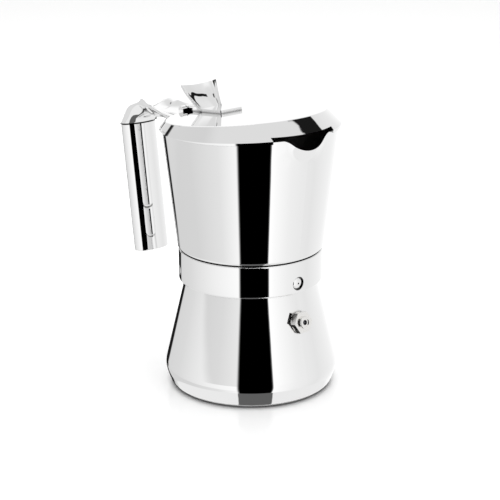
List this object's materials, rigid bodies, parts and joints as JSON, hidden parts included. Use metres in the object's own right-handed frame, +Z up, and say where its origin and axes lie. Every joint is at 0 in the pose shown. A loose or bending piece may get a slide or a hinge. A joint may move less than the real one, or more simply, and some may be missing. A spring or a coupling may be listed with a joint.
{
  "type": "moka pot",
  "caption": "Stove-top moka pot of polished stainless steel: flared boiler with side safety valve, bayonet collar, conical jug with spout notch, hinged lid, dished handle arm with open grip.",
  "frame": {"origin": "centre of the base, on the surface the pot stands on", "axes": "+Z up, +X towards the spout and the safety valve, handle on -X"},
  "size_m": [0.1722, 0.1066, 0.1762],
  "materials": {
    "mirror_steel": "mirror-polished stainless steel",
    "satin_steel": "satin stainless steel",
    "plated_valve": "polished nickel-plated brass",
    "spring_steel": "drawn spring wire",
    "core_aluminium": "plain rolled",
    "silicone": "matte translucent silicone"
  },
  "bodies": {
    "boiler": {"boiler_shell": "mirror_steel", "base_core": "core_aluminium", "base_cap": "mirror_steel", "bayonet_lugs": "satin_steel", "valve_body": "plated_valve", "valve_washer": "silicone", "valve_nut": "plated_valve", "valve_cap": "plated_valve"},
    "plunger": {"valve_plunger": "plated_valve", "valve_spring": "spring_steel"},
    "funnel": {"funnel_cup": "satin_steel", "funnel_stem": "satin_steel", "funnel_screen": "satin_steel"},
    "seal_set": {"gasket": "silicone", "filter_plate": "satin_steel"},
    "collector": {"jug_shell": "mirror_steel", "seat_plate": "satin_steel", "riser_tube": "satin_steel", "riser_cap": "satin_steel", "collar_ring": "mirror_steel", "bayonet_pins": "mirror_steel", "handle_grip": "mirror_steel", "grip_end_cap": "mirror_steel", "handle_arm": "mirror_steel", "handle_bracket": "mirror_steel", "hinge_pin": "mirror_steel"},
    "lid": {"lid_shell": "mirror_steel", "thumb_lever": "mirror_steel"}
  },
  "joints": [
    {"name": "valve_lift", "type": "slide", "parent": "boiler", "child": "plunger", "axis": [0.9733, 0, 0.2295], "range_m": [0, 0.0015], "stiffness_N_per_m": 2000, "springref_m": -0.002},
    {"name": "funnel_lift", "type": "slide", "parent": "boiler", "child": "funnel", "axis": [0, 0, 1], "range_m": [0, 0.1]},
    {"name": "collector_lift", "type": "slide", "parent": "funnel", "child": "seal_set", "axis": [0, 0, 1], "range_m": [0, 0.08]},
    {"name": "bayonet_turn", "type": "hinge", "parent": "seal_set", "child": "collector", "pos_m": [0, 0, 0.0717], "axis": [0, 0, -1], "range_deg": [0, 35]},
    {"name": "lid_hinge", "type": "hinge", "parent": "collector", "child": "lid", "pos_m": [-0.052, 0, 0.1602], "axis": [0, -1, 0], "range_deg": [0, 100]}
  ]
}
